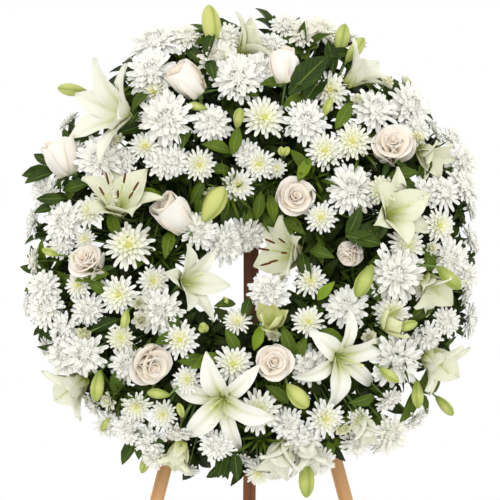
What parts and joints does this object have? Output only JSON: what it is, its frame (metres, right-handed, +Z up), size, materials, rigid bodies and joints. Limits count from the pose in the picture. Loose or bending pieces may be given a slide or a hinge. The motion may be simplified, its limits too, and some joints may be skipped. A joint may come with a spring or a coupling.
{
  "type": "funeral wreath",
  "caption": "Round funeral wreath of white roses, lilies and chrysanthemums in a foam ring, hung on a wooden easel whose rear leg folds.",
  "frame": {"origin": "on the floor, under the middle of the whole object's box", "axes": "+Z up, -Y the way the wreath faces, +X to the right as seen by someone facing the wreath"},
  "size_m": [0.6554, 0.622, 1.4033],
  "materials": {
    "wood": "satin varnished softwood",
    "steel": "zinc plated",
    "tray": "moulded green plastic",
    "foam": "wet floral foam",
    "rose_petal": "soft cream petals",
    "lily_petal": "waxy white petals",
    "mum_petal": "matt white petals",
    "leaf": "glossy green leaf"
  },
  "bodies": {
    "easel_and_wreath": {"bud_bottom": "lily_petal", "bud_upper": "lily_petal", "crossbar": "wood", "foam_ring": "foam", "foam_tray": "tray", "front_leg_left": "wood", "front_leg_right": "wood", "hanging_peg": "wood", "hinge_leaf_frame": "steel", "hinge_pin": "steel", "hinge_screw_frame_left": "steel", "hinge_screw_frame_right": "steel", "leaf_spray_bottom": "leaf", "leg_screw_left_lower": "steel", "leg_screw_left_upper": "steel", "leg_screw_right_lower": "steel", "leg_screw_right_upper": "steel", "lily_bottom": "lily_petal", "lily_hole_left": "lily_petal", "lily_hole_right": "lily_petal", "lily_left": "lily_petal", "lily_lower_left": "lily_petal", "lily_lower_right": "lily_petal", "lily_right": "lily_petal", "lily_right_lower": "lily_petal", "lily_right_outer": "lily_petal", "lily_top": "lily_petal", "lily_top_right": "lily_petal", "lily_upper_left": "lily_petal", "mast": "wood", "mast_screw_lower": "steel", "mast_screw_upper": "steel", "mum_spray_bottom": "mum_petal", "mum_spray_hole_top": "mum_petal", "mum_spray_inner_bottom": "mum_petal", "mum_spray_inner_top": "mum_petal", "mum_spray_left": "mum_petal", "mum_spray_left_lower": "mum_petal", "mum_spray_lower_left": "mum_petal", "mum_spray_lower_right": "mum_petal", "mum_spray_right": "mum_petal", "mum_spray_right_lower": "mum_petal", "mum_spray_right_upper": "mum_petal", "mum_spray_top": "mum_petal", "mum_spray_top_left": "mum_petal", "mum_spray_top_right": "mum_petal", "rose_bottom": "rose_petal", "rose_inner_left": "rose_petal", "rose_inner_right": "rose_petal", "rose_inner_top": "rose_petal", "rose_left": "rose_petal", "rose_left_outer": "rose_petal", "rose_lower_left": "rose_petal", "rose_right_upper": "rose_petal", "rose_top": "rose_petal", "rose_top_left": "rose_petal"},
    "rear_leg": {"rear_leg": "wood", "hinge_leaf_leg": "steel", "hinge_screw_leg_lower": "steel", "hinge_screw_leg_upper": "steel"}
  },
  "joints": [
    {"name": "rear_leg_hinge", "type": "hinge", "parent": "easel_and_wreath", "child": "rear_leg", "pos_m": [0, -0.08052, 0.9091], "axis": [1, 0, 0], "range_deg": [-30, 0]}
  ]
}
